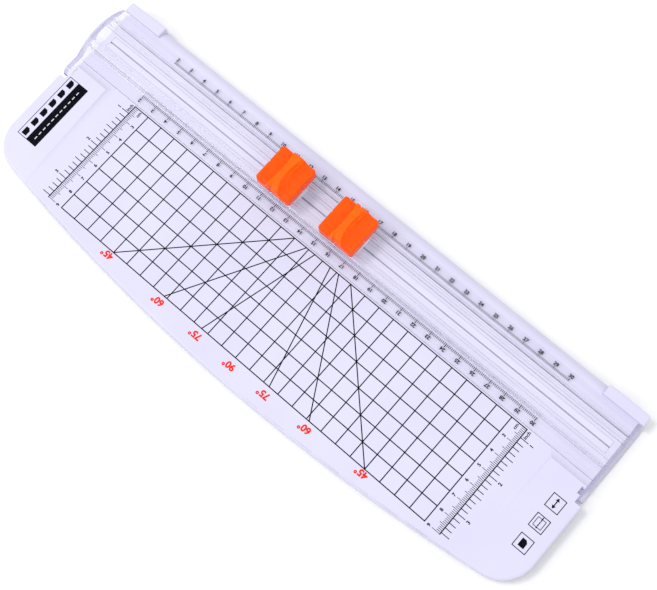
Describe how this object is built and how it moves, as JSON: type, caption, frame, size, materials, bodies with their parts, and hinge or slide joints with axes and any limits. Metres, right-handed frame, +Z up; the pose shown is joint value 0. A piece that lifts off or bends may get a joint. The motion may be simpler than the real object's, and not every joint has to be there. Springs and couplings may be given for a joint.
{
  "type": "sliding paper trimmer",
  "caption": "Flat paper trimmer: a ruled base, a clear hinged rail across the back and press-down cutters that slide along it.",
  "frame": {"origin": "middle of the footprint, at the underside of the feet", "axes": "+X along the cutting line, +Y from the paper table to the rail, +Z up"},
  "size_m": [0.372, 0.13, 0.0352],
  "materials": {
    "base": "smooth moulded plastic with a fine satin gloss",
    "strip": "satin moulded strip",
    "rubber": "matt soft rubber",
    "clear": "clear polished plastic",
    "cap": "satin moulded plastic",
    "slider": "matt moulded plastic",
    "steel": "ground steel",
    "wire": "drawn spring wire",
    "ink_black": "screen-printed ink",
    "ink_red": "screen-printed ink"
  },
  "bodies": {
    "base": {"base_plate": "base", "cutting_strip": "strip", "foot_front_left": "rubber", "foot_front_middle": "rubber", "foot_front_right": "rubber", "foot_rear_left": "rubber", "foot_rear_middle": "rubber", "foot_rear_right": "rubber"},
    "rail": {"rail_arm": "clear"},
    "cutter_a_carriage": {"cutter_a_shoe": "slider", "cutter_a_saddle": "slider", "cutter_a_spring_left": "wire", "cutter_a_spring_right": "wire"},
    "cutter_a_press": {"cutter_a_cap": "cap", "cutter_a_blade": "steel", "cutter_a_blade_screw": "steel", "cutter_a_retaining_pin": "steel"},
    "cutter_b_carriage": {"cutter_b_shoe": "slider", "cutter_b_saddle": "slider", "cutter_b_spring_left": "wire", "cutter_b_spring_right": "wire"},
    "cutter_b_press": {"cutter_b_cap": "cap", "cutter_b_blade": "steel", "cutter_b_blade_screw": "steel", "cutter_b_retaining_pin": "steel"}
  },
  "joints": [
    {"name": "rail_hinge", "type": "hinge", "parent": "base", "child": "rail", "pos_m": [0, 0.012, 0.0109], "axis": [1, 0, 0], "range_deg": [0, 110]},
    {"name": "cutter_a_slide", "type": "slide", "parent": "rail", "child": "cutter_a_carriage", "axis": [1, 0, 0], "range_m": [-0.126, 0.009]},
    {"name": "cutter_a_press", "type": "slide", "parent": "cutter_a_carriage", "child": "cutter_a_press", "axis": [0, 0, -1], "range_m": [0, 0.0015], "stiffness_N_per_m": 600, "springref_m": -0.002, "deforming": ["cutter_a_spring_left", "cutter_a_spring_right"]},
    {"name": "cutter_b_slide", "type": "slide", "parent": "rail", "child": "cutter_b_carriage", "axis": [1, 0, 0], "range_m": [-0.009, 0.165]},
    {"name": "cutter_b_press", "type": "slide", "parent": "cutter_b_carriage", "child": "cutter_b_press", "axis": [0, 0, -1], "range_m": [0, 0.0015], "stiffness_N_per_m": 600, "springref_m": -0.002, "deforming": ["cutter_b_spring_left", "cutter_b_spring_right"]}
  ]
}
